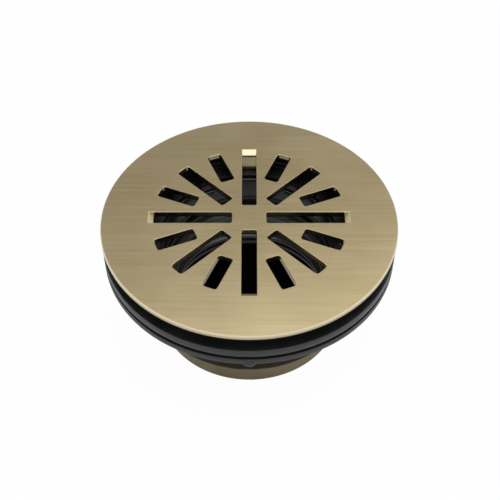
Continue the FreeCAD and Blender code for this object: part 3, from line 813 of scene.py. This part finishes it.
# Sheared brass strip: rolled along its length, so it has faint upright lines, under the plating. Its top
# half millimetre, just under the plate, is painted dark brown as shade.
LEG_SHADE_DEPTH = 0.5                        # how far down from the plate the painted shade reaches
LEG_SHADE_FADE = 0.2
strip_brass, tree, place = empty_material("rolled_brass_strip")
rolled = noise(tree, place, 0.35, 3.0, drawn_out=(1, 1, 9 / 0.35))
leg_shade_edge = (low_of("grate_plate") - LEG_SHADE_DEPTH) * MM
leg_shade = carried(tree, part(tree, place, "Z"), (leg_shade_edge, leg_shade_edge + LEG_SHADE_FADE * MM))
tint = ramp(tree, rolled, "#cbb992", "#dfcfab", 0.3, 0.7)
# Painted shade: the strip's top, just under the plate, goes dark brown.
surface(tree, blend_colours(tree, leg_shade, tint, "#2b241a"), 0.22, emboss(tree, rolled, 0.25, 0.02),
        {"Metallic": 1.0})

# Braze: a paler silver-gold alloy that froze smooth, with a slight ripple.
braze, tree, place = empty_material("silver_braze")
ripple = noise(tree, place, 0.8)
surface(tree, ramp(tree, ripple, "#9a8c66", "#cfc4a0"), 0.33, emboss(tree, ripple, 0.4, 0.06),
        {"Metallic": 1.0})

# Rolled spring steel: cool grey with patches of straw-coloured heat tint, and fine upright lines that
# break up its sheen.
spring_steel, tree, place = empty_material("rolled_spring_steel")
rolled = noise(tree, place, 0.2, 3.0, drawn_out=(1, 1, 6 / 0.2))
heat = noise(tree, place, 3, 1.0)
surface(tree, ramp(tree, heat, "#b5b6b5", "#b7a98c", 0.4, 0.8), carried(tree, rolled, (0, 1), (0.22, 0.36)),
        emboss(tree, rolled, 0.2, 0.01), {"Metallic": 1.0})

LEG_INNER = 37.6
LEG_THICK = 1.5
LEG_HALF_WIDTH = 3.5
BEAD_SIZE = 0.6
SPRING_THICK = 0.35
SPRING_HALF_WIDTH = 2.3
SPRING_BOW = 1.3
SPRING_FLAT = 1.4                   # how much of the strip's upper end lies flat on the leg
WELD_DEPTH = 0.05
plate_under = low_of("grate_plate")
leg_face = LEG_INNER + LEG_THICK
spring_top = top_of("leg_spring_front")
spring_foot = low_of("leg_spring_front")


def turned_by(points, degrees):
    """Points turned about the drain's axis."""
    turn = math.radians(degrees)
    x, y = points[..., 0], points[..., 1]
    return np.stack([x * math.cos(turn) - y * math.sin(turn), x * math.sin(turn) + y * math.cos(turn),
                     points[..., 2]], axis=-1)


def bead_points():
    """The braze round a leg's upper end: a hollow triangle carried round the leg's outline.

    The outline's own outward direction, a quarter turn from its tangent, carries the triangle's
    width, and its height hangs down from the plate. The alloy was fed in from outside, so the
    triangle shrinks from its full size at the leg's outer face to almost nothing at the inner one.
    """
    ring = section([(LEG_INNER, -LEG_HALF_WIDTH, 0.3), (leg_face, -LEG_HALF_WIDTH, 0.3),
                    (leg_face, LEG_HALF_WIDTH, 0.3), (LEG_INNER, LEG_HALF_WIDTH, 0.3)], steps=5)
    tangent = np.roll(ring, -1, axis=0) - np.roll(ring, 1, axis=0)
    tangent /= np.linalg.norm(tangent, axis=1)[:, None]
    outward = np.stack([tangent[:, 1], -tangent[:, 0]], axis=1)
    hollow = np.linspace(0, 1, 6)
    width = np.concatenate([[-0.15], BEAD_SIZE * (1 - hollow) ** 2])
    drop = np.concatenate([[0.0], BEAD_SIZE * hollow ** 2])
    fed = np.clip((ring[:, 0] - LEG_INNER) / LEG_THICK, 0.1, 1.0)[:, None]
    flat = ring[:, None] + (fed * width)[..., None] * outward[:, None]
    height = plate_under - fed * drop
    return np.concatenate([flat, height[..., None]], axis=-1)


def spring_points():
    """The strip: a thin oblong section carried down the leg's face.

    Below its flat upper end the strip stands off the face by the bow times the square of the sine of
    its way down. Two round hollows mark the welds.
    """
    oblong = section([(0.0, -SPRING_HALF_WIDTH, 0.1), (SPRING_THICK, -SPRING_HALF_WIDTH, 0.1),
                      (SPRING_THICK, SPRING_HALF_WIDTH, 0.1), (0.0, SPRING_HALF_WIDTH, 0.1)], steps=3)
    ahead = np.roll(oblong, -1, axis=0)
    parts = np.where(abs(ahead[:, 1] - oblong[:, 1]) > 1.0, 20, 1)
    edge = np.repeat(np.arange(len(oblong)), parts)
    share = (np.arange(parts.sum()) - np.repeat(np.cumsum(parts) - parts, parts)) / parts[edge]
    oblong = oblong[edge] + share[:, None] * (ahead - oblong)[edge]
    rows = np.linspace(0, 1, 44)
    height = spring_top - rows * (spring_top - spring_foot)
    bend_start = spring_top - SPRING_FLAT
    way = np.clip((bend_start - height) / (bend_start - spring_foot), 0, 1)
    stand_off = leg_face + SPRING_BOW * np.sin(np.pi * way) ** 2
    out = stand_off[:, None] + oblong[None, :, 0]
    across = np.broadcast_to(oblong[None, :, 1], out.shape)
    up = np.broadcast_to(height[:, None], out.shape)
    weld = np.exp(-((abs(across) - 1.1) ** 2 + (up - spring_top + 0.7) ** 2) / 0.3 ** 2)
    out = out - WELD_DEPTH * weld * (oblong[None, :, 0] > SPRING_THICK - 0.01)
    points = np.stack([out, across, up], axis=-1)
    ends = points[[0, -1]].mean(axis=1, keepdims=True) + np.zeros((2, points.shape[1], 1))
    return np.concatenate([ends[:1], points, ends[1:]])


for side, degrees in (("right", 0), ("back", 90), ("left", 180), ("front", 270)):
    dress(f"grate_leg_{side}", strip_brass)
    skin(f"leg_braze_{side}", turned_by(bead_points(), degrees), True, braze, "grate", "leg_brass")
    skin(f"leg_spring_{side}_strip", turned_by(spring_points(), degrees), False, spring_steel, "grate",
         "spring_steel", [f"leg_spring_{side}"])
